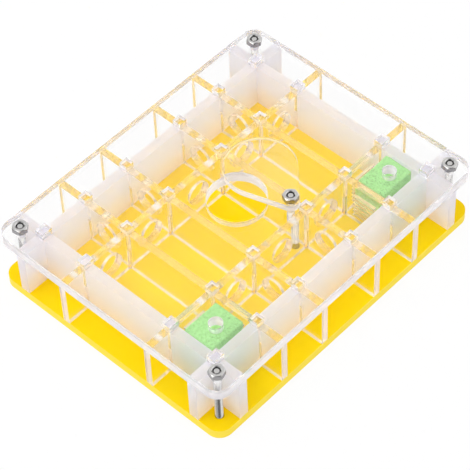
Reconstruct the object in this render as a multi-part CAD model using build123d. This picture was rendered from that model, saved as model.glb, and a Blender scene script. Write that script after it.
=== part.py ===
from build123d import *
from math import acos, atan2, cos, degrees, hypot, radians, sin, tan
import os

# Ant habitat cut from acrylic sheet. Millimetres, +Z up, +X along the long side, front towards -Y.
# The origin is the centre of the base plate's underside.

# Sheet thicknesses
BASE_THICKNESS = 4.0
COVER_THICKNESS = 5.0
WALL_THICKNESS = 4.0
PARTITION_THICKNESS = 3.0
LID_THICKNESS = 3.0

# Clear inside of the cells, and how far the crossing plates run on outside the walls
CELL_HEIGHT = 19.0
CENTRE_CELL_LENGTH = 25.2
INNER_CELL_LENGTH = 18.2
END_CELL_LENGTH = 17.5
CENTRE_ROW_WIDTH = 38.6
SIDE_ROW_WIDTH = 17.7
END_WING_LENGTH = 10.1
SIDE_WING_LENGTH = 10.5
CORNER_RADIUS = 5.5

# Air film where a plate's edge or the lid lies against a sheet
AIR_FILM = 0.05

# Halving joints, and tenons in the base and the cover
SLOT_CLEARANCE = 0.1
TENON_WIDTH = 3.0
TENON_CLEARANCE = 0.3
BASE_TENON_RECESS = 0.5
COVER_TENON_RECESS = 1.5

# Ways between the cells
PASSAGE_DIAMETER = 10.0
PASSAGE_HEIGHT = 9.5
SLIT_COUNT = 6
SLIT_PITCH = 2.0
SLIT_LENGTH = 10.0
SLIT_OPENING = 0.9
LOWEST_SLIT_HEIGHT = 3.0

# Holes in the cover
FEEDING_HOLE_DIAMETER = 22.6
FILLING_HOLE_DIAMETER = 5.4
FILLING_HOLE_OUTWARD = 0.65
FILLING_HOLE_FORWARD = 1.6

# Sponges, cut by hand, one in each front corner cell, by the gaps that they leave in it
SPONGE_HEADROOM = 0.6
SPONGE_WALL_GAP = 0.3
SPONGE_CORNER_RADIUS = 1.0
LEFT_SPONGE_PARTITION_GAP = 0.6
LEFT_SPONGE_SIDE_GAP = 2.05
RIGHT_SPONGE_PARTITION_GAP = 0.5
RIGHT_SPONGE_SIDE_GAP = 2.65

# M3 bolts and nuts
BOLT_DIAMETER = 3.0
BOLT_HOLE_CLEARANCE = 0.2
BOLT_INSET = 6.5
BOLT_END_BELOW_NUT = 0.4
BOLT_TIP_CHAMFER = 0.4
HEAD_DIAMETER = 5.8
HEAD_RECESS = 0.15
HEAD_SEAT_CLEARANCE = 0.05
SOCKET_ACROSS_FLATS = 2.0
SOCKET_DEPTH = 0.9
NUT_ACROSS_FLATS = 5.5
NUT_HEIGHT = 2.4
NUT_BORE_CLEARANCE = 0.05
NUT_BORE_CHAMFER = 0.3
NUT_FACE_DIAMETER = 5.2
NUT_CHAMFER_ANGLE = 30.0
CORNER_NUT_TURNS = [15.0, 22.0, 40.0, 33.0]
PIVOT_NUT_TURN = 12.0

# Swing lid
LID_OVERLAP = 2.4
LID_BOSS_RADIUS = 3.4
LID_BORE_CLEARANCE = 0.08
LID_OPEN_ANGLE = 46.5
PIVOT_INSET_X = 2.0
PIVOT_INSET_Y = 2.7

# Heights of the stack
FLOOR_Z = BASE_THICKNESS
CEILING_Z = FLOOR_Z + CELL_HEIGHT
COVER_TOP_Z = CEILING_Z + COVER_THICKNESS
PLATE_FOOT_Z = FLOOR_Z + AIR_FILM
PLATE_TOP_Z = CEILING_Z - AIR_FILM
LID_FOOT_Z = COVER_TOP_Z + AIR_FILM
LID_TOP_Z = LID_FOOT_Z + LID_THICKNESS
HALVING_Z = FLOOR_Z + CELL_HEIGHT / 2

# Middle planes of the plates, outwards from the centre
INNER_PARTITION_X = CENTRE_CELL_LENGTH / 2 + PARTITION_THICKNESS / 2
OUTER_PARTITION_X = INNER_PARTITION_X + PARTITION_THICKNESS + INNER_CELL_LENGTH
END_CELL_INNER_X = OUTER_PARTITION_X + PARTITION_THICKNESS / 2
END_WALL_X = END_CELL_INNER_X + END_CELL_LENGTH + WALL_THICKNESS / 2
LONG_PARTITION_Y = CENTRE_ROW_WIDTH / 2 + PARTITION_THICKNESS / 2
SIDE_ROW_INNER_Y = LONG_PARTITION_Y + PARTITION_THICKNESS / 2
LONG_WALL_Y = SIDE_ROW_INNER_Y + SIDE_ROW_WIDTH + WALL_THICKNESS / 2

# Half sizes of the base and the cover
HALF_LENGTH = END_WALL_X + WALL_THICKNESS / 2 + END_WING_LENGTH
HALF_WIDTH = LONG_WALL_Y + WALL_THICKNESS / 2 + SIDE_WING_LENGTH

# Middles of the cells
INNER_CELL_X = INNER_PARTITION_X + PARTITION_THICKNESS / 2 + INNER_CELL_LENGTH / 2
END_CELL_X = END_CELL_INNER_X + END_CELL_LENGTH / 2
SIDE_ROW_Y = SIDE_ROW_INNER_Y + SIDE_ROW_WIDTH / 2

# Plates that run along Y (short) and along X (long): name, middle plane, thickness
SHORT_PLATES = [
    ("left_end_wall", -END_WALL_X, WALL_THICKNESS),
    ("short_partition_outer_left", -OUTER_PARTITION_X, PARTITION_THICKNESS),
    ("short_partition_inner_left", -INNER_PARTITION_X, PARTITION_THICKNESS),
    ("short_partition_inner_right", INNER_PARTITION_X, PARTITION_THICKNESS),
    ("short_partition_outer_right", OUTER_PARTITION_X, PARTITION_THICKNESS),
    ("right_end_wall", END_WALL_X, WALL_THICKNESS),
]
LONG_PLATES = [
    ("front_long_wall", -LONG_WALL_Y, WALL_THICKNESS),
    ("front_long_partition", -LONG_PARTITION_Y, PARTITION_THICKNESS),
    ("back_long_partition", LONG_PARTITION_Y, PARTITION_THICKNESS),
    ("back_long_wall", LONG_WALL_Y, WALL_THICKNESS),
]

# Axes of the bolts
CORNER_BOLTS = [
    ("front_left", -HALF_LENGTH + BOLT_INSET, -HALF_WIDTH + BOLT_INSET),
    ("front_right", HALF_LENGTH - BOLT_INSET, -HALF_WIDTH + BOLT_INSET),
    ("back_left", -HALF_LENGTH + BOLT_INSET, HALF_WIDTH - BOLT_INSET),
    ("back_right", HALF_LENGTH - BOLT_INSET, HALF_WIDTH - BOLT_INSET),
]
PIVOT_X = CENTRE_CELL_LENGTH / 2 - PIVOT_INSET_X
PIVOT_Y = -CENTRE_ROW_WIDTH / 2 + PIVOT_INSET_Y
BOLT_AXES = [(x, y) for _, x, y in CORNER_BOLTS] + [(PIVOT_X, PIVOT_Y)]


def block(low, high):
    """A box from its lowest corner to its highest."""
    size = [b - a for a, b in zip(low, high)]
    return Pos(*low) * Box(*size, align=(Align.MIN, Align.MIN, Align.MIN))


def upright(solid, *sizes, x=0, y=0, z=0):
    """A cylinder or cone along Z that stands on the given point."""
    return Pos(x, y, z) * solid(*sizes, align=(Align.CENTER, Align.CENTER, Align.MIN))


def rod(x, y, low, high, radius):
    """A cylinder along Z between two heights."""
    return upright(Cylinder, radius, high - low, x=x, y=y, z=low)


def sheet(low, high):
    """The rounded outline that the base and the cover share."""
    outline = RectangleRounded(2 * HALF_LENGTH, 2 * HALF_WIDTH, CORNER_RADIUS)
    return Pos(0, 0, low) * extrude(outline, high - low)


def square_hole(x, y, size_x, size_y, low, high):
    """A mortise that leaves the tenon clearance on all four sides."""
    half_x = size_x / 2 + TENON_CLEARANCE
    half_y = size_y / 2 + TENON_CLEARANCE
    return block((x - half_x, y - half_y, low), (x + half_x, y + half_y, high))


def bolt_holes(low, high):
    """Clearance holes for all five bolts."""
    radius = BOLT_DIAMETER / 2 + BOLT_HOLE_CLEARANCE
    return [rod(x, y, low, high, radius) for x, y in BOLT_AXES]


def head_cone(x, y, growth):
    """The 90 degree countersunk head, or with growth the seat round it."""
    top_radius = BOLT_DIAMETER / 2 + growth
    base_radius = HEAD_DIAMETER / 2 + growth
    height = base_radius - top_radius
    return upright(Cone, base_radius, top_radius, height, x=x, y=y, z=HEAD_RECESS)


def base_plate():
    plate = sheet(0, FLOOR_Z)
    plate -= bolt_holes(0, FLOOR_Z)
    for x, y in BOLT_AXES:
        plate -= head_cone(x, y, HEAD_SEAT_CLEARANCE)
        plate -= rod(x, y, 0, HEAD_RECESS, HEAD_DIAMETER / 2 + HEAD_SEAT_CLEARANCE)
    for _, y, thickness in LONG_PLATES:
        for _, x, _ in SHORT_PLATES:
            plate -= square_hole(x, y, TENON_WIDTH, thickness, 0, FLOOR_Z)
    return plate


def cover_plate():
    plate = sheet(CEILING_Z, COVER_TOP_Z)
    plate -= bolt_holes(CEILING_Z, COVER_TOP_Z)
    for _, x, thickness in SHORT_PLATES:
        for _, y, _ in LONG_PLATES:
            plate -= square_hole(x, y, thickness, TENON_WIDTH, CEILING_Z, COVER_TOP_Z)
    plate -= rod(0, 0, CEILING_Z, COVER_TOP_Z, FEEDING_HOLE_DIAMETER / 2)
    for side in (-1, 1):
        x = side * (END_CELL_X + FILLING_HOLE_OUTWARD)
        y = -SIDE_ROW_Y - FILLING_HOLE_FORWARD
        plate -= rod(x, y, CEILING_Z, COVER_TOP_Z, FILLING_HOLE_DIAMETER / 2)
    return plate


def passage_through_short(x, y):
    """A round hole along X through a short plate."""
    hole = Cylinder(PASSAGE_DIAMETER / 2, 2 * PARTITION_THICKNESS)
    return Pos(x, y, FLOOR_Z + PASSAGE_HEIGHT) * Rot(0, 90, 0) * hole


def passage_through_long(x, y):
    """A round hole along Y through a long plate."""
    hole = Cylinder(PASSAGE_DIAMETER / 2, 2 * PARTITION_THICKNESS)
    return Pos(x, y, FLOOR_Z + PASSAGE_HEIGHT) * Rot(90, 0, 0) * hole


def slits(x, y, length_x, length_y):
    """A column of narrow level slits, centred on x and y."""
    cuts = []
    for i in range(SLIT_COUNT):
        low = FLOOR_Z + LOWEST_SLIT_HEIGHT + i * SLIT_PITCH - SLIT_OPENING / 2
        corner_low = (x - length_x / 2, y - length_y / 2, low)
        corner_high = (x + length_x / 2, y + length_y / 2, low + SLIT_OPENING)
        cuts.append(block(corner_low, corner_high))
    return cuts


def short_plate(x, thickness):
    """A plate along Y: open-bottomed slots over the long plates, tenons up into the cover."""
    half = thickness / 2
    plate = block((x - half, -HALF_WIDTH, PLATE_FOOT_Z), (x + half, HALF_WIDTH, PLATE_TOP_Z))
    for _, y, other in LONG_PLATES:
        reach = other / 2 + SLOT_CLEARANCE
        slot_high = (x + half, y + reach, HALVING_Z + SLOT_CLEARANCE)
        plate -= block((x - half, y - reach, PLATE_FOOT_Z), slot_high)
        tenon_high = (x + half, y + TENON_WIDTH / 2, COVER_TOP_Z - COVER_TENON_RECESS)
        plate += block((x - half, y - TENON_WIDTH / 2, PLATE_TOP_Z), tenon_high)
    return plate


def long_plate(y, thickness):
    """A plate along X: open-topped slots under the short plates, tenons down into the base."""
    half = thickness / 2
    plate = block((-HALF_LENGTH, y - half, PLATE_FOOT_Z), (HALF_LENGTH, y + half, PLATE_TOP_Z))
    for _, x, other in SHORT_PLATES:
        reach = other / 2 + SLOT_CLEARANCE
        plate -= block((x - reach, y - half, HALVING_Z), (x + reach, y + half, PLATE_TOP_Z))
        tenon_low = (x - TENON_WIDTH / 2, y - half, BASE_TENON_RECESS)
        plate += block(tenon_low, (x + TENON_WIDTH / 2, y + half, PLATE_FOOT_Z))
    return plate


def short_partition(x):
    """A round passage in the back row, and a passage or slits in the front row."""
    plate = short_plate(x, PARTITION_THICKNESS)
    plate -= passage_through_short(x, SIDE_ROW_Y)
    if abs(x) < OUTER_PARTITION_X:
        plate -= passage_through_short(x, -SIDE_ROW_Y)
    else:
        plate -= slits(x, -SIDE_ROW_Y, 2 * PARTITION_THICKNESS, SLIT_LENGTH)
    return plate


def long_partition(y):
    """A round passage in every cell, but slits beside the two sponges."""
    plate = long_plate(y, PARTITION_THICKNESS)
    for x in (-INNER_CELL_X, 0, INNER_CELL_X):
        plate -= passage_through_long(x, y)
    for x in (-END_CELL_X, END_CELL_X):
        if y > 0:
            plate -= passage_through_long(x, y)
        else:
            plate -= slits(x, y, SLIT_LENGTH, 2 * PARTITION_THICKNESS)
    return plate


def sponge(side, partition_gap, side_gap):
    """An upright block that stands on the base and nearly fills a front corner cell."""
    length = END_CELL_LENGTH - SPONGE_WALL_GAP - partition_gap
    width = SIDE_ROW_WIDTH - 2 * side_gap
    outline = RectangleRounded(length, width, SPONGE_CORNER_RADIUS)
    body = extrude(outline, CELL_HEIGHT - SPONGE_HEADROOM)
    middle_x = END_CELL_INNER_X + partition_gap + length / 2
    return Pos(side * middle_x, -SIDE_ROW_Y, FLOOR_Z) * body


def hex_prism(across_flats, height):
    """A six-sided prism standing on Z = 0."""
    return extrude(RegularPolygon(across_flats / 2, 6, major_radius=False), height)


def bolt(x, y, seat_z):
    """A countersunk socket bolt that ends just below the top of a nut on seat_z."""
    radius = BOLT_DIAMETER / 2
    end_z = seat_z + NUT_HEIGHT - BOLT_END_BELOW_NUT
    shank = rod(x, y, HEAD_RECESS, end_z, radius)
    shank = chamfer(shank.edges().sort_by(Axis.Z)[-1], BOLT_TIP_CHAMFER)
    socket = Pos(x, y, HEAD_RECESS) * hex_prism(SOCKET_ACROSS_FLATS, SOCKET_DEPTH)
    return shank + head_cone(x, y, 0) - socket


def nut(x, y, seat_z, turn):
    """A hex nut with its corners turned down at both ends and a flared bore on top."""
    corner_radius = NUT_ACROSS_FLATS / 2 / cos(radians(30))
    face_radius = NUT_FACE_DIAMETER / 2
    drop = (corner_radius - face_radius) * tan(radians(NUT_CHAMFER_ANGLE))
    turned = upright(Cylinder, corner_radius, NUT_HEIGHT - 2 * drop, z=drop)
    turned += upright(Cone, face_radius, corner_radius, drop)
    turned += upright(Cone, corner_radius, face_radius, drop, z=NUT_HEIGHT - drop)
    bore_radius = BOLT_DIAMETER / 2 + NUT_BORE_CLEARANCE
    flare_radius = bore_radius + NUT_BORE_CHAMFER
    body = turned & hex_prism(NUT_ACROSS_FLATS, NUT_HEIGHT)
    body -= upright(Cylinder, bore_radius, NUT_HEIGHT)
    body -= upright(Cone, bore_radius, flare_radius, NUT_BORE_CHAMFER, z=NUT_HEIGHT - NUT_BORE_CHAMFER)
    return Pos(x, y, seat_z) * Rot(0, 0, turn) * body


def swing_lid():
    """A disc and a small boss joined by their common tangents, swung open about the pivot bolt."""
    reach = hypot(PIVOT_X, PIVOT_Y)
    radius = FEEDING_HOLE_DIAMETER / 2 + LID_OVERLAP
    tangent = acos((LID_BOSS_RADIUS - radius) / reach)
    disc_touch = (reach + radius * cos(tangent), radius * sin(tangent))
    boss_touch = (LID_BOSS_RADIUS * cos(tangent), LID_BOSS_RADIUS * sin(tangent))
    upper = [disc_touch, boss_touch]
    lower = [(x, -y) for x, y in reversed(upper)]
    outline = Circle(LID_BOSS_RADIUS) + Pos(reach, 0) * Circle(radius)
    outline += Polygon(*upper, *lower, align=None)
    outline -= Circle(BOLT_DIAMETER / 2 + LID_BORE_CLEARANCE)
    closed_angle = degrees(atan2(-PIVOT_Y, -PIVOT_X))
    body = extrude(outline, LID_THICKNESS)
    return Pos(PIVOT_X, PIVOT_Y, LID_FOOT_Z) * Rot(0, 0, closed_angle - LID_OPEN_ANGLE) * body


def all_pieces():
    """Every piece by its node name."""
    pieces = {"base_plate": base_plate(), "cover_plate": cover_plate(), "swing_lid": swing_lid()}
    for name, x, thickness in SHORT_PLATES:
        pieces[name] = short_plate(x, thickness) if name.endswith("wall") else short_partition(x)
    for name, y, thickness in LONG_PLATES:
        pieces[name] = long_plate(y, thickness) if name.endswith("wall") else long_partition(y)
    pieces["sponge_left"] = sponge(-1, LEFT_SPONGE_PARTITION_GAP, LEFT_SPONGE_SIDE_GAP)
    pieces["sponge_right"] = sponge(1, RIGHT_SPONGE_PARTITION_GAP, RIGHT_SPONGE_SIDE_GAP)
    for (name, x, y), turn in zip(CORNER_BOLTS, CORNER_NUT_TURNS):
        pieces[f"corner_bolt_{name}"] = bolt(x, y, COVER_TOP_Z)
        pieces[f"corner_nut_{name}"] = nut(x, y, COVER_TOP_Z, turn)
    pieces["pivot_bolt"] = bolt(PIVOT_X, PIVOT_Y, LID_TOP_Z)
    pieces["pivot_nut"] = nut(PIVOT_X, PIVOT_Y, LID_TOP_Z, PIVOT_NUT_TURN)
    return pieces


os.makedirs("parts", exist_ok=True)
for piece_name, piece in all_pieces().items():
    export_step(piece, f"parts/{piece_name}.step")
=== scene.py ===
import math

import bmesh
import bpy
from mathutils import Matrix, Vector, noise


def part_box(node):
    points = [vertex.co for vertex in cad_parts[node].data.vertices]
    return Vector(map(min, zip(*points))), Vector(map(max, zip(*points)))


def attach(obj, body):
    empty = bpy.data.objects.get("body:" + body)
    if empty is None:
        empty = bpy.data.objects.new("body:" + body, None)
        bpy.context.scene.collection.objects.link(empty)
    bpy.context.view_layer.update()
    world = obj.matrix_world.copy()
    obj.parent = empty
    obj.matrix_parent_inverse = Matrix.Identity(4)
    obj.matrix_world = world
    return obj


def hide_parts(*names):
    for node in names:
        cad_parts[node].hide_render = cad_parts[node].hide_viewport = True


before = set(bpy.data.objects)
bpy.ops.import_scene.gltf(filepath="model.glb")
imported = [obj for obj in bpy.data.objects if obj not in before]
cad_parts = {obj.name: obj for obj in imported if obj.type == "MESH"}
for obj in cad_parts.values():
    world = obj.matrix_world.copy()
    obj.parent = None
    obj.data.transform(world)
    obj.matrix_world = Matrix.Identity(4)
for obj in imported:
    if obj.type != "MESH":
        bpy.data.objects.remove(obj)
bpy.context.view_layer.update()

MM = 0.001
WHITE = (1, 1, 1, 1)

# Camera: where it looks, from where and how far, in degrees and metres
VIEW_TARGET = Vector((-5.51, -3.69, 15.0)) * MM
VIEW_AZIMUTH = 224.83
VIEW_ELEVATION = 50.43
VIEW_DISTANCE = 0.7936
VIEW_ROLL = -2.71
VIEW_LENS = 167.6
VIEW_REACH = 80.0
SENSOR_WIDTH = 36.0

# Light: in reflections the sky is white low down and greyer overhead, with one dark side high up in front
SKY_SEEN = 1.0
SKY_ON_DIFFUSE = 0.88
CEILING_SEEN = 0.68
CEILING_SLOPE = 0.3
CEILING_STARTS = 0.12
CEILING_FULL = 0.4
CEILING_BRIGHT_SIDE = (0.705, -0.709, 0.0)
DARK_SEEN = 0.08
DARK_SIDE = (-0.355, -0.3525, 0.866)
DARK_STARTS = 0.76
DARK_FULL = 0.93
SOFTBOX_SIZE = 0.7
SOFTBOX_PLACE = Vector((-0.35, 0.25, 0.95))
SOFTBOX_POWER = 2.2
PANEL_SIZE = 2.4
PANEL_PLACE = Vector((0.0, 0.0, 1.3))
PANEL_POWER = 2.6
CLEAR_BOUNCES = 64
DIFFUSE_BOUNCES = 12

# Floor
FLOOR_SIZE = 8.0
FLOOR_DROP = 0.05 * MM
FLOOR_COLOUR = (0.93, 0.93, 0.93, 1)
FLOOR_GLOW_SHARE = 0.9

# Any finish: how fine its grain is, and how squarely a face must point along an axis to count as
# facing it. Below, a pair of roughnesses is the least and the most that the grain gives.
GRAIN_DETAIL = 2.0
FACING_FROM = 0.4
FACING_FULL = 0.8
ACRYLIC_IOR = 1.491

# Yellow acrylic: its cut faces are duller than its large ones, and painted paler as a painted glow along
# its edges
YELLOW_STOPS = (
    (0.3, (0.94, 0.655, 0.0025, 1)),
    (0.7, (0.98, 0.685, 0.0035, 1)),
)
YELLOW_CUT_PAINTED_GLOW = (1.0, 0.78, 0.075, 1)
YELLOW_CLOUD_SCALE = 14.0
YELLOW_CLOUD_DETAIL = 3.0
YELLOW_GRAIN_SCALE = 900.0
YELLOW_ROUGHNESS = (0.05, 0.09)
YELLOW_CUT_ROUGHNESS = 0.4
YELLOW_SPECULAR = 0.08

# Clear acrylic: haze on its cut faces, less where they are seen from within the sheet, and a painted yellow
# glow of the base on those that face up or down
CLEAR_COLOUR = (0.99, 0.99, 0.99, 1)
HAZE_COLOUR = (0.97, 0.95, 0.98, 1)
HAZE_LET_THROUGH = 0.5
HAZE_UPRIGHT = 0.6
HAZE_WITHIN = 0.25
COVER_HAZE_WITHIN = 0.4
CLEAR_SIDE_OUTSIDE = 0.55
CLEAR_SIDE_WITHIN = 0.12
CUT_HAZED_TO = 0.55
CUT_CLEAR_FROM = 0.85
CUT_ROUGHNESS = (0.22, 0.28)
CUT_STREAK_SCALE = 700.0
TOP_HAZE_AND_PAINTED_GLOW = 0.12
TOP_PAINTED_BASE_GLOW = (1.0, 0.86, 0.38, 1)
FOOT_CONTACT_PAINTED_GLOW = 0.6
FOOT_PAINTED_BASE_GLOW = (1.0, 0.8, 0.5, 1)

# Frosted acrylic: a rough clear sheet with milk in it, with a painted warm glow of the base near its foot
FROSTED_COLOUR = (0.995, 0.985, 1.0, 1)
FROSTED_ROUGHNESS = (0.45, 0.55)
FROSTED_GRAIN_SCALE = 2500.0
MILK_COLOUR = (0.935, 0.938, 1.0, 1)
MILK_PAINTED_BASE_GLOW = (0.99, 0.93, 0.86, 1)
MILK_PAINTED_GLOW_FULL_BELOW = 4.0 * MM
MILK_PAINTED_GLOW_GONE_ABOVE = 17.0 * MM
MILK_SHARE = 0.65
MILK_THROWN_BACK = 0.45

# Stainless steel: upright faces, a nut's flats and a bolt's sides, are painted darker than its level faces
# as painted shade
STEEL_COLOUR = (0.80, 0.79, 0.78, 1)
STEEL_PAINTED_SHADE_COLOUR = (0.36, 0.355, 0.36, 1)
STEEL_FLAT_TO = 0.1
STEEL_LEVEL_FROM = 0.5
STEEL_ROUGHNESS = (0.16, 0.30)
STEEL_MARK_SCALE = 1800.0

# Bolts: an M3 coarse thread up to near the head
THREAD_PITCH = 0.5 * MM
THREAD_LENGTH = 26.0 * MM
THREAD_CORE_RADIUS = 1.24 * MM
THREAD_FLANK_SHARE = 0.96
THREAD_FADE_TURNS = 1.0
THREAD_END_SHARE = 0.3
THREAD_STEPS_PER_TURN = 32
SHANK_RADIUS = 1.5 * MM
SHANK_TAPER = 0.3 * MM
TIP_RADIUS = 0.95 * MM
TIP_CHAMFER = 0.4 * MM
SOCKET_ACROSS_FLATS = 2.0 * MM
SOCKET_DEPTH = 0.9 * MM
SOCKET_LEAD_IN = 0.12 * MM
HEAD_RIM = 0.08 * MM
BOLT_SIDES = 48
HEXAGON_SIDE_ANGLE = math.radians(60)
SHARP_ANGLE = math.radians(35)

# Sponges: their shape
FOAM_STEP = 0.5 * MM
FOAM_ROUNDING = 0.9 * MM
FOAM_LUMP_SIZE = 6.0 * MM
FOAM_LUMP_DEPTH = 0.35 * MM
FOAM_PORE_SIZE = 1.3 * MM
FOAM_PORE_DEPTH = 0.45 * MM
FOAM_PORE_REACH = 0.32
FOAM_FACE_SHARE = 0.97
FOAM_SMOOTH_ANGLE = math.pi

# Sponges: their finish. Pores have a scale, where their edge starts and ends, and how dark their painted
# shade is in bare and in crowded patches.
FOAM_STOPS = (
    (0.3, (0.31, 0.65, 0.22, 1)),
    (0.6, (0.43, 0.80, 0.31, 1)),
)
FOAM_PORE_PAINTED_SHADE = (0.10, 0.30, 0.08, 1)
FOAM_CELL_SCALE = 900.0
FOAM_CELL_DETAIL = 4.0
FOAM_PATCH_SCALE = 110.0
FOAM_PATCH_DETAIL = 1.0
FOAM_PATCH_STARTS = 0.4
FOAM_PATCH_FULL = 0.55
LARGE_PORES = (1000.0, (0.12, 0.36), (0.1, 0.6))
SMALL_PORES = (1900.0, (0.1, 0.4), (0.3, 0.6))
FOAM_ROUGHNESS = 0.9
FOAM_BUMP = 0.6
FOAM_BUMP_DEPTH = 0.3 * MM

# A Mix node's sockets for colours. Their names are those of its other sockets too.
MIX_FIRST = 6
MIX_SECOND = 7
MIX_RESULT = 2


class Value:
    """One output of a node. Python's operators add the Math nodes."""

    def __init__(self, tree, socket):
        self.tree = tree
        self.socket = socket

    def _math(self, operation, *terms):
        return self.tree.node("ShaderNodeMath", {"operation": operation}, dict(enumerate(terms))).out()

    def __add__(self, other):
        return self._math("ADD", self, other)

    def __radd__(self, other):
        return self._math("ADD", other, self)

    def __sub__(self, other):
        return self._math("SUBTRACT", self, other)

    def __rsub__(self, other):
        return self._math("SUBTRACT", other, self)

    def __mul__(self, other):
        return self._math("MULTIPLY", self, other)

    def __rmul__(self, other):
        return self._math("MULTIPLY", other, self)

    def __truediv__(self, other):
        return self._math("DIVIDE", self, other)

    def __rtruediv__(self, other):
        return self._math("DIVIDE", other, self)

    def __abs__(self):
        return self._math("ABSOLUTE", self)

    def at_most(self, other):
        return self._math("MINIMUM", self, other)

    def rises(self, low, high):
        """0 below low, 1 above high, and a smooth step between."""
        ends = {"From Min": low, "From Max": high, "Value": self}
        return self.tree.node("ShaderNodeMapRange", {"interpolation_type": "SMOOTHSTEP"}, ends).out()

    def between(self, start, end):
        """start where this is 0, end where it is 1."""
        return start + (end - start) * self


class Node:
    """A node, with its outputs as Values."""

    def __init__(self, tree, node):
        self.tree = tree
        self.node = node

    def out(self, name=0):
        return Value(self.tree, self.node.outputs[name])


class Tree:
    """A node tree, emptied. Every node in it is made by its method node."""

    def __init__(self, node_tree):
        self.node_tree = node_tree
        node_tree.nodes.clear()

    def node(self, kind, settings=None, values=None):
        """Adds a node: first its settings, a ramp's stops among them, then its sockets' values or links.

        A list of links goes to a socket that takes several."""
        made = self.node_tree.nodes.new(kind)
        for name, setting in (settings or {}).items():
            if name == "stops":
                self._set_stops(made.color_ramp, setting)
            else:
                setattr(made, name, setting)
        for name, value in (values or {}).items():
            for given in (value if isinstance(value, list) else [value]):
                if isinstance(given, Value):
                    self.node_tree.links.new(given.socket, made.inputs[name])
                else:
                    made.inputs[name].default_value = given
        return Node(self, made)

    @staticmethod
    def _set_stops(ramp, stops):
        while len(ramp.elements) > len(stops):
            ramp.elements.remove(ramp.elements[-1])
        while len(ramp.elements) < len(stops):
            ramp.elements.new(1)
        for element, (place, colour) in zip(ramp.elements, stops):
            element.position = place
            element.color = colour

    def coordinates(self, kind):
        return self.node("ShaderNodeTexCoord").out(kind)

    def along(self, axis, vector):
        """A vector's part along X, Y or Z."""
        return self.node("ShaderNodeSeparateXYZ", None, {"Vector": vector}).out(axis)

    def grain(self, scale, detail=GRAIN_DETAIL):
        """Noise that is fixed to the piece."""
        values = {"Vector": self.coordinates("Object"), "Scale": scale, "Detail": detail}
        return self.node("ShaderNodeTexNoise", None, values).out("Fac")

    def nearest_point(self, scale):
        """The distance to the nearest of many scattered points that are fixed to the piece."""
        values = {"Vector": self.coordinates("Object"), "Scale": scale}
        return self.node("ShaderNodeTexVoronoi", None, values).out("Distance")

    def ramp(self, share, stops):
        return self.node("ShaderNodeValToRGB", {"stops": stops}, {"Fac": share}).out("Color")

    def mix_colours(self, share, first, second):
        """The first colour where share is 0, the second where it is 1."""
        values = {"Factor": share, MIX_FIRST: first, MIX_SECOND: second}
        return self.node("ShaderNodeMix", {"data_type": "RGBA"}, values).out(MIX_RESULT)

    def principled(self, values):
        return self.node("ShaderNodeBsdfPrincipled", None, values).out()

    def diffuse(self, colour):
        return self.node("ShaderNodeBsdfDiffuse", None, {"Color": colour}).out()

    def translucent(self, colour):
        return self.node("ShaderNodeBsdfTranslucent", None, {"Color": colour}).out()

    def mix_shaders(self, share, first, second):
        """The first shader where share is 0, the second where it is 1."""
        return self.node("ShaderNodeMixShader", None, {"Fac": share, 1: first, 2: second}).out()

    def surface(self, shader, kind="ShaderNodeOutputMaterial"):
        self.node(kind, None, {"Surface": shader})


def new_material(name):
    """A material and its empty tree."""
    material = bpy.data.materials.new(name)
    material.use_nodes = True
    return material, Tree(material.node_tree)


def cut_face_mask(tree, sheet_axis):
    """1 on the cut faces of a sheet, 0 on its two large faces."""
    facing = tree.along(sheet_axis, tree.coordinates("Normal"))
    return 1 - abs(facing).rises(FACING_FROM, FACING_FULL)


def yellow_acrylic():
    """Opaque cast sheet with a gloss face."""
    material, tree = new_material("yellow_acrylic_gloss")
    cloud = tree.grain(YELLOW_CLOUD_SCALE, YELLOW_CLOUD_DETAIL)
    side = cut_face_mask(tree, "Z")
    grain = tree.grain(YELLOW_GRAIN_SCALE)
    shader = tree.principled({
        # Cut faces take a paler yellow: painted edge glow
        "Base Color": tree.mix_colours(side, tree.ramp(cloud, YELLOW_STOPS), YELLOW_CUT_PAINTED_GLOW),
        "Roughness": grain.between(*YELLOW_ROUGHNESS) + YELLOW_CUT_ROUGHNESS * side,
        "IOR": ACRYLIC_IOR,
        "Specular IOR Level": YELLOW_SPECULAR,
    })
    tree.surface(shader)
    return material


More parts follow.
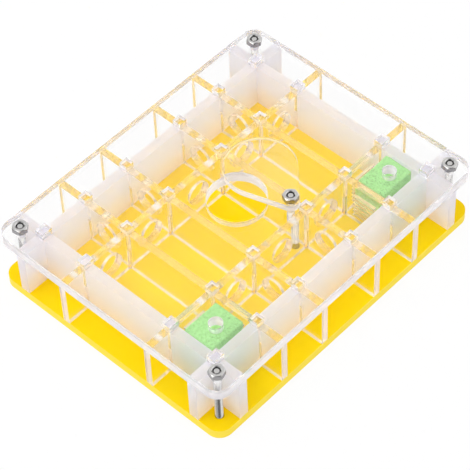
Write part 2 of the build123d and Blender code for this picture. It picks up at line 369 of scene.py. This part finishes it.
def clear_acrylic(sheet_axis, clear_at_low, haze_within):
    """Clear sheet with large faces like glass and satin cut faces.

    Upright cut faces are hazed through part of the thickness, those that face up have a slight haze painted
    with the yellow glow of the base, and those that face down are painted with a warm glow of the base
    where they would mirror."""
    material, tree = new_material(f"clear_acrylic_sheet_{sheet_axis.lower()}")
    inside = tree.node("ShaderNodeNewGeometry").out("Backfacing")
    cut = cut_face_mask(tree, sheet_axis)
    upright = cut * cut_face_mask(tree, "Z")
    depth = tree.along(sheet_axis, tree.coordinates("Generated"))
    if clear_at_low:
        depth = 1 - depth
    clear_side = inside.between(CLEAR_SIDE_OUTSIDE, CLEAR_SIDE_WITHIN)
    hazed_side = depth.rises(CUT_HAZED_TO, CUT_CLEAR_FROM).between(1, clear_side)
    hazed = upright * inside.between(HAZE_UPRIGHT, haze_within) * hazed_side
    facing_up = tree.along("Z", tree.coordinates("Normal")) * (1 - 2 * inside)
    top = cut * facing_up.rises(FACING_FROM, FACING_FULL)
    mirror = tree.node("ShaderNodeFresnel", None, {"IOR": ACRYLIC_IOR}).out()
    foot = cut * (0 - facing_up).rises(FACING_FROM, FACING_FULL) * mirror
    clear = tree.principled({
        "Base Color": CLEAR_COLOUR,
        "Roughness": cut * tree.grain(CUT_STREAK_SCALE).between(*CUT_ROUGHNESS),
        "IOR": ACRYLIC_IOR,
        "Transmission Weight": 1.0,
    })
    haze = tree.mix_shaders(HAZE_LET_THROUGH, tree.diffuse(HAZE_COLOUR), tree.translucent(HAZE_COLOUR))
    edged = tree.mix_shaders(hazed, clear, haze)
    # Cut faces that face up take a little yellow diffuse: painted glow of the base below
    topped = tree.mix_shaders(TOP_HAZE_AND_PAINTED_GLOW * top, edged, tree.diffuse(TOP_PAINTED_BASE_GLOW))
    # Cut faces that face down take a warm diffuse where they would mirror: painted glow of the base
    tree.surface(tree.mix_shaders(FOOT_CONTACT_PAINTED_GLOW * foot, topped, tree.diffuse(FOOT_PAINTED_BASE_GLOW)))
    return material


def frosted_acrylic():
    """Milky satin sheet, with a painted warm glow of the yellow base near its foot."""
    material, tree = new_material("frosted_acrylic")
    clear = tree.principled({
        "Base Color": FROSTED_COLOUR,
        "Roughness": tree.grain(FROSTED_GRAIN_SCALE).between(*FROSTED_ROUGHNESS),
        "IOR": ACRYLIC_IOR,
        "Transmission Weight": 1.0,
    })
    painted_glow_milk, above = (
        tree.mix_shaders(MILK_THROWN_BACK, tree.translucent(colour), tree.diffuse(colour))
        for colour in (MILK_PAINTED_BASE_GLOW, MILK_COLOUR)
    )
    height = tree.along("Z", tree.coordinates("Object"))
    # The milk turns warm near the foot: painted glow of the yellow base, gone higher up
    milk = tree.mix_shaders(height.rises(MILK_PAINTED_GLOW_FULL_BELOW, MILK_PAINTED_GLOW_GONE_ABOVE), painted_glow_milk, above)
    tree.surface(tree.mix_shaders(MILK_SHARE, clear, milk))
    return material


def stainless_steel():
    """Bright rolled stainless with fine turning marks, and painted shade on its upright faces."""
    material, tree = new_material("stainless_bright")
    # Upright faces get a darker colour than level ones: painted shade
    level = abs(tree.along("Z", tree.coordinates("Normal"))).rises(STEEL_FLAT_TO, STEEL_LEVEL_FROM)
    shader = tree.principled({
        "Base Color": tree.mix_colours(level, STEEL_PAINTED_SHADE_COLOUR, STEEL_COLOUR),
        "Metallic": 1.0,
        "Roughness": tree.grain(STEEL_MARK_SCALE).between(*STEEL_ROUGHNESS),
    })
    tree.surface(shader)
    return material


def sponge_foam():
    """Open-cell cellulose foam, pale green with painted shade in its pores."""
    material, tree = new_material("sponge_foam")
    cells = tree.grain(FOAM_CELL_SCALE, FOAM_CELL_DETAIL)
    patches = tree.grain(FOAM_PATCH_SCALE, FOAM_PATCH_DETAIL).rises(FOAM_PATCH_STARTS, FOAM_PATCH_FULL)
    large, small = (
        (1 - tree.nearest_point(scale).rises(*edge)) * patches.between(*darkness)
        for scale, edge, darkness in (LARGE_PORES, SMALL_PORES)
    )
    pores = (large + small).at_most(1)
    bump = tree.node("ShaderNodeBump", None, {
        "Strength": FOAM_BUMP,
        "Distance": FOAM_BUMP_DEPTH,
        "Height": cells - pores,
    })
    shader = tree.principled({
        # Pores take a dark green: painted shade in the holes
        "Base Color": tree.mix_colours(pores, tree.ramp(cells, FOAM_STOPS), FOAM_PORE_PAINTED_SHADE),
        "Roughness": FOAM_ROUGHNESS,
        "Normal": bump.out(),
    })
    tree.surface(shader)
    return material


def mesh_object(name, shape, material, sharp_angle):
    """Turns a bmesh into an object with smooth faces, and sharp edges past an angle."""
    bmesh.ops.recalc_face_normals(shape, faces=shape.faces)
    mesh = bpy.data.meshes.new(name)
    shape.to_mesh(mesh)
    shape.free()
    mesh.shade_smooth()
    mesh.set_sharp_from_angle(angle=sharp_angle)
    mesh.materials.append(material)
    made = bpy.data.objects.new(name, mesh)
    bpy.context.scene.collection.objects.link(made)
    return made


def socket_radius(angle):
    """How far the side of a bolt's hexagon socket is from the centre at an angle."""
    from_flat = (angle + HEXAGON_SIDE_ANGLE / 2) % HEXAGON_SIDE_ANGLE - HEXAGON_SIDE_ANGLE / 2
    return SOCKET_ACROSS_FLATS / 2 / math.cos(from_flat)


def ring(shape, centre, height, radius_at):
    """A ring of BOLT_SIDES vertices round centre."""
    made = []
    for step in range(BOLT_SIDES):
        angle = 2 * math.pi * step / BOLT_SIDES
        radius = radius_at(angle)
        place = (centre.x + radius * math.cos(angle), centre.y + radius * math.sin(angle), height)
        made.append(shape.verts.new(place))
    return made


def stack_of_rings(shape, rings):
    """Joins neighbouring rings with quads and closes both ends."""
    for lower, upper in zip(rings, rings[1:]):
        for step in range(BOLT_SIDES):
            after = (step + 1) % BOLT_SIDES
            shape.faces.new((lower[step], lower[after], upper[after], upper[step]))
    shape.faces.new(reversed(rings[0]))
    shape.faces.new(rings[-1])


def bolt_blank(node, steel):
    """A countersunk socket bolt with a plain shank and a bare thread core, in its CAD node's place.

    Gives back the bolt and the point where its thread starts."""
    low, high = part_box(node)
    centre = Vector(((low[0] + high[0]) / 2, (low[1] + high[1]) / 2, 0))
    head = (high[0] - low[0]) / 2
    foot, tip = low[2], high[2]
    thread_foot = tip - THREAD_LENGTH
    socket_mouth = SOCKET_ACROSS_FLATS / math.sqrt(3) + SOCKET_LEAD_IN
    shape = bmesh.new()
    rings = []
    for height in (foot + SOCKET_DEPTH, foot + SOCKET_LEAD_IN):
        rings.append(ring(shape, centre, height, socket_radius))
    for height, radius in (
        (foot, socket_mouth),
        (foot, head - HEAD_RIM),
        (foot + HEAD_RIM / 2, head - HEAD_RIM / 2),
        (foot + HEAD_RIM, head - HEAD_RIM),
        (foot + head - SHANK_RADIUS, SHANK_RADIUS),
        (thread_foot - SHANK_TAPER, SHANK_RADIUS),
        (thread_foot, THREAD_CORE_RADIUS),
        (tip - TIP_CHAMFER, THREAD_CORE_RADIUS),
        (tip, TIP_RADIUS),
    ):
        rings.append(ring(shape, centre, height, lambda angle, r=radius: r))
    stack_of_rings(shape, rings)
    bolt = mesh_object(node + "_threaded", shape, steel, SHARP_ANGLE)
    return bolt, Vector((centre.x, centre.y, thread_foot))


def thread_nodes():
    """A geometry tree that winds a thread's ridge round a bolt's core."""
    tree = Tree(bpy.data.node_groups.new("bolt_thread", "GeometryNodeTree"))
    sockets = tree.node_tree.interface
    for name, kind in (
        ("Bolt", "Geometry"),
        ("Thread Foot", "Vector"),
        ("Pitch", "Float"),
        ("Turns", "Float"),
        ("Core Radius", "Float"),
        ("Crest Radius", "Float"),
        ("Flank Height", "Float"),
        ("Steel", "Material"),
    ):
        sockets.new_socket(name, in_out="INPUT", socket_type="NodeSocket" + kind)
    sockets.new_socket("Bolt", in_out="OUTPUT", socket_type="NodeSocketGeometry")
    given = tree.node("NodeGroupInput")
    turns = given.out("Turns")
    helix = tree.node("GeometryNodeCurveSpiral", None, {
        "Resolution": THREAD_STEPS_PER_TURN,
        "Rotations": turns,
        "Start Radius": given.out("Core Radius"),
        "End Radius": given.out("Core Radius"),
        "Height": turns * given.out("Pitch"),
        "Reverse": True,
    })
    upright = tree.node("GeometryNodeSetCurveNormal", {"mode": "Z_UP"}, {"Curve": helix.out()})
    along = tree.node("GeometryNodeSplineParameter").out("Factor")
    fade = THREAD_FADE_TURNS / turns
    full = along.rises(0.0, fade) * (1 - along.rises(1 - fade, 1.0))
    tapered = tree.node("GeometryNodeSetCurveRadius", None, {
        "Curve": upright.out(),
        "Radius": full.between(THREAD_END_SHARE, 1),
    })
    tooth = tree.node("GeometryNodeCurvePrimitiveQuadrilateral", {"mode": "KITE"}, {
        "Width": 2 * (given.out("Crest Radius") - given.out("Core Radius")),
        "Top Height": given.out("Flank Height"),
        "Bottom Height": given.out("Flank Height"),
    })
    ridge = tree.node("GeometryNodeCurveToMesh", None, {
        "Curve": tapered.out(),
        "Profile Curve": tooth.out(),
        "Scale": tree.node("GeometryNodeInputRadius").out(),
        "Fill Caps": True,
    })
    placed = tree.node("GeometryNodeTransform", None, {
        "Geometry": ridge.out(),
        "Translation": given.out("Thread Foot"),
    })
    whole = tree.node("GeometryNodeJoinGeometry", None, {"Geometry": [placed.out(), given.out("Bolt")]})
    real = tree.node("GeometryNodeRealizeInstances", None, {"Geometry": whole.out()})
    finished = tree.node("GeometryNodeSetMaterial", None, {
        "Geometry": real.out(),
        "Material": given.out("Steel"),
    })
    tree.node("NodeGroupOutput", None, {"Bolt": finished.out()})
    return tree.node_tree


def run_geometry_nodes(piece, node_tree, values):
    """Applies a geometry tree to a piece, with its inputs set by their identifiers."""
    modifier = piece.modifiers.new("geometry", "NODES")
    modifier.node_group = node_tree
    inputs = [item for item in node_tree.interface.items_tree if item.in_out == "INPUT"]
    identifiers = {item.name: item.identifier for item in inputs}
    for name, value in values.items():
        modifier[identifiers[name]] = value
    evaluated = piece.evaluated_get(bpy.context.evaluated_depsgraph_get())
    mesh = bpy.data.meshes.new_from_object(evaluated)
    piece.modifiers.remove(modifier)
    piece.data = mesh


def cut_threads(steel):
    """Replaces each plain CAD bolt by a threaded one."""
    node_tree = thread_nodes()
    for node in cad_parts:
        if "bolt" not in node:
            continue
        bolt, thread_foot = bolt_blank(node, steel)
        run_geometry_nodes(bolt, node_tree, {
            "Thread Foot": thread_foot,
            "Pitch": THREAD_PITCH,
            "Turns": (THREAD_LENGTH - TIP_CHAMFER) / THREAD_PITCH,
            "Core Radius": THREAD_CORE_RADIUS,
            "Crest Radius": SHANK_RADIUS,
            "Flank Height": THREAD_FLANK_SHARE * THREAD_PITCH / 2,
            "Steel": steel,
        })
        bolt.data.set_sharp_from_angle(angle=SHARP_ANGLE)
        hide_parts(node)
        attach(bolt, "base")


def foam_surface(place, low, high):
    """Moves a point of a plain block in to where the foam's uneven skin is."""
    middle = (low + high) / 2
    half = (high - low) / 2
    from_middle = place - middle

    # Past an inner core, a point on an edge or a corner comes in to a round one
    inner = [side - FOAM_ROUNDING for side in half]
    core = Vector([max(-inner[i], min(inner[i], from_middle[i])) for i in range(3)])
    out = from_middle - core
    if out.length > 0:
        longest = max(abs(c) for c in out)
        out = out.normalized() * longest
    rounded = core + out

    # Lumps and pores go straight in from the nearest face, or from the nearest few at an edge
    lump = (1 + noise.noise(place / FOAM_LUMP_SIZE)) / 2
    nearest = noise.voronoi(place / FOAM_PORE_SIZE)[0][0]
    pore = max(0.0, 1 - nearest / FOAM_PORE_REACH)
    depth = FOAM_LUMP_DEPTH * lump + FOAM_PORE_DEPTH * pore
    inward = Vector([-rounded[i] / half[i] for i in range(3)])
    strongest = max(abs(c) for c in inward)
    inward = Vector([c if abs(c) > FOAM_FACE_SHARE * strongest else 0 for c in inward])
    return middle + rounded + inward.normalized() * depth


def foam_block(node, foam):
    """A block of open-cell foam, softened at its edges and pitted, in its CAD node's place."""
    low, high = (Vector(corner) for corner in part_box(node))
    steps = [round((high[i] - low[i]) / FOAM_STEP) for i in range(3)]
    shape = bmesh.new()
    made = {}

    def vertex(index):
        """The vertex at a place in the grid, made when it is first asked for. The foot stays flat."""
        if index not in made:
            plain = Vector([low[i] + (high[i] - low[i]) * index[i] / steps[i] for i in range(3)])
            moved = foam_surface(plain, low, high)
            if index[2] == 0:
                moved.z = low.z
            made[index] = shape.verts.new(moved)
        return made[index]

    for axis in range(3):
        first, second = [i for i in range(3) if i != axis]
        for end in (0, steps[axis]):
            for u in range(steps[first]):
                for v in range(steps[second]):
                    face = []
                    for du, dv in ((0, 0), (1, 0), (1, 1), (0, 1)):
                        index = [0, 0, 0]
                        index[axis] = end
                        index[first] = u + du
                        index[second] = v + dv
                        face.append(vertex(tuple(index)))
                    shape.faces.new(face)
    block = mesh_object(node + "_foam", shape, foam, FOAM_SMOOTH_ANGLE)
    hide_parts(node)
    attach(block, "base")


def dress_cad_nodes(steel, foam):
    """Gives each CAD node the finish of its sheet or metal."""
    yellow = yellow_acrylic()
    frosted = frosted_acrylic()
    clear_across_x = clear_acrylic("X", clear_at_low=True, haze_within=HAZE_WITHIN)
    clear_across_y = clear_acrylic("Y", clear_at_low=False, haze_within=HAZE_WITHIN)
    clear_level = clear_acrylic("Z", clear_at_low=False, haze_within=COVER_HAZE_WITHIN)
    for name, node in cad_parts.items():
        if name == "base_plate":
            finish = yellow
        elif name in ("cover_plate", "swing_lid"):
            finish = clear_level
        elif name.startswith("short_partition"):
            finish = clear_across_x
        elif name.endswith("long_partition"):
            finish = clear_across_y
        elif name.endswith("wall"):
            finish = frosted
        elif name.startswith("sponge"):
            finish = foam
        else:
            finish = steel
        node.data.materials[0] = finish


def place_camera():
    """Sets the camera on a long lens, turned about its own axis by the roll."""
    azimuth, elevation, roll = (math.radians(a) for a in (VIEW_AZIMUTH, VIEW_ELEVATION, VIEW_ROLL))
    vertical = Vector((0, 0, 1))
    level = Vector((math.cos(azimuth), math.sin(azimuth), 0))
    away = math.cos(elevation) * level + math.sin(elevation) * vertical
    right = (-away).cross(vertical).normalized()
    up = away.cross(right)
    turned_right = math.cos(roll) * right + math.sin(roll) * up
    turned_up = math.cos(roll) * up - math.sin(roll) * right
    camera = bpy.data.objects.new("camera", bpy.data.cameras.new("camera"))
    camera.data.lens = VIEW_LENS
    camera.data.sensor_width = SENSOR_WIDTH
    camera.data.clip_end = VIEW_REACH
    camera.matrix_world = Matrix((turned_right, turned_up, away)).transposed().to_4x4()
    camera.matrix_world.translation = VIEW_TARGET + VIEW_DISTANCE * away
    bpy.context.scene.collection.objects.link(camera)
    bpy.context.scene.camera = camera


def seen_directly(tree):
    """1 for rays from the camera, a gloss or a clear piece, 0 for rays from matt surfaces."""
    path = tree.node("ShaderNodeLightPath")
    rays = path.out("Is Camera Ray") + path.out("Is Glossy Ray") + path.out("Is Transmission Ray")
    return rays.at_most(1)


def light_sky():
    """A white sky, a little dimmer as a light. Only in gloss does it darken overhead and on one side."""
    world = bpy.data.worlds.new("sky")
    world.use_nodes = True
    bpy.context.scene.world = world
    tree = Tree(world.node_tree)
    path = tree.node("ShaderNodeLightPath")
    mirrored = path.out("Is Glossy Ray") * (1 - path.out("Is Transmission Ray"))
    way = tree.coordinates("Generated")
    to_bright, to_dark = (
        tree.node("ShaderNodeVectorMath", {"operation": "DOT_PRODUCT"}, {0: way, 1: side}).out("Value")
        for side in (CEILING_BRIGHT_SIDE, DARK_SIDE)
    )
    overhead = tree.along("Z", way).rises(CEILING_STARTS, CEILING_FULL)
    ceiling = overhead.between(SKY_SEEN, CEILING_SEEN + CEILING_SLOPE * to_bright)
    room = ceiling * to_dark.rises(DARK_STARTS, DARK_FULL).between(1, DARK_SEEN)
    strength = seen_directly(tree).between(SKY_ON_DIFFUSE, mirrored.between(SKY_SEEN, room))
    sky = tree.node("ShaderNodeBackground", None, {"Color": WHITE, "Strength": strength})
    tree.surface(sky.out(), "ShaderNodeOutputWorld")


def hang_lamp(name, size, place, power):
    """A square soft lamp that faces the object."""
    lamp = bpy.data.lights.new(name, "AREA")
    lamp.size = size
    lamp.energy = power
    hung = bpy.data.objects.new(name, lamp)
    hung.matrix_world = place.to_track_quat("Z", "Y").to_matrix().to_4x4()
    hung.matrix_world.translation = place
    bpy.context.scene.collection.objects.link(hung)
    return hung


def lay_floor():
    """Pale paper under the object, white where it is seen, which still takes the object's shadow."""
    material, tree = new_material("floor_paper")
    glow = tree.node("ShaderNodeEmission", None, {"Color": WHITE, "Strength": SKY_SEEN}).out()
    tree.surface(tree.mix_shaders(FLOOR_GLOW_SHARE * seen_directly(tree), tree.diffuse(FLOOR_COLOUR), glow))
    shape = bmesh.new()
    bmesh.ops.create_grid(shape, x_segments=1, y_segments=1, size=FLOOR_SIZE / 2)
    bmesh.ops.translate(shape, verts=shape.verts, vec=(0, 0, -FLOOR_DROP))
    mesh = bpy.data.meshes.new("floor")
    shape.to_mesh(mesh)
    shape.free()
    mesh.materials.append(material)
    floor = bpy.data.objects.new("floor", mesh)
    bpy.context.scene.collection.objects.link(floor)


def set_ray_depth():
    """Light crosses many clear faces here, so paths are allowed to be long and stay sharp."""
    cycles = bpy.context.scene.cycles
    cycles.max_bounces = CLEAR_BOUNCES
    cycles.transmission_bounces = CLEAR_BOUNCES
    cycles.glossy_bounces = CLEAR_BOUNCES
    cycles.diffuse_bounces = DIFFUSE_BOUNCES
    cycles.blur_glossy = 0


bpy.context.scene.view_settings.view_transform = "Standard"
place_camera()
light_sky()
hang_lamp("softbox", SOFTBOX_SIZE, SOFTBOX_PLACE, SOFTBOX_POWER)
panel = hang_lamp("panel", PANEL_SIZE, PANEL_PLACE, PANEL_POWER)
panel.visible_glossy = False
lay_floor()
set_ray_depth()
stainless = stainless_steel()
green_foam = sponge_foam()
dress_cad_nodes(stainless, green_foam)
cut_threads(stainless)
for sponge in ("sponge_left", "sponge_right"):
    foam_block(sponge, green_foam)
